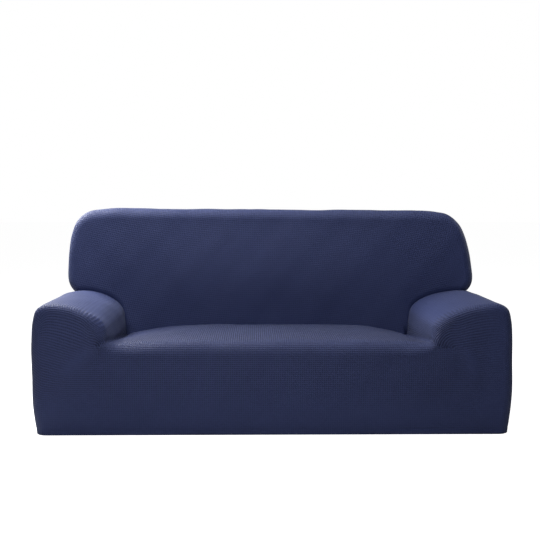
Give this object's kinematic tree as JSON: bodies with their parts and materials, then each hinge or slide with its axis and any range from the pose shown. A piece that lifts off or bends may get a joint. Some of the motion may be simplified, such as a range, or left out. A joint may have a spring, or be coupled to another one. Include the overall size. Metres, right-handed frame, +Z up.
{
  "type": "sofa slipcover",
  "caption": "Fitted stretch slipcover in fine waffle knit for a sofa with soft round arms, hollow and open at the floor, tucked in where the seat meets the arms and backrest.",
  "frame": {"origin": "on the floor under the middle of the cover's bounding box", "axes": "+X along the sofa, to the right seen from the front; +Y from the front to the rear; +Z up"},
  "size_m": [2.032, 0.8692, 0.9402],
  "materials": {
    "knit": "matt"
  },
  "bodies": {
    "root": {"seat_and_arms_panel": "knit", "backrest_panel": "knit", "rear_panel": "knit"}
  },
  "joints": []
}
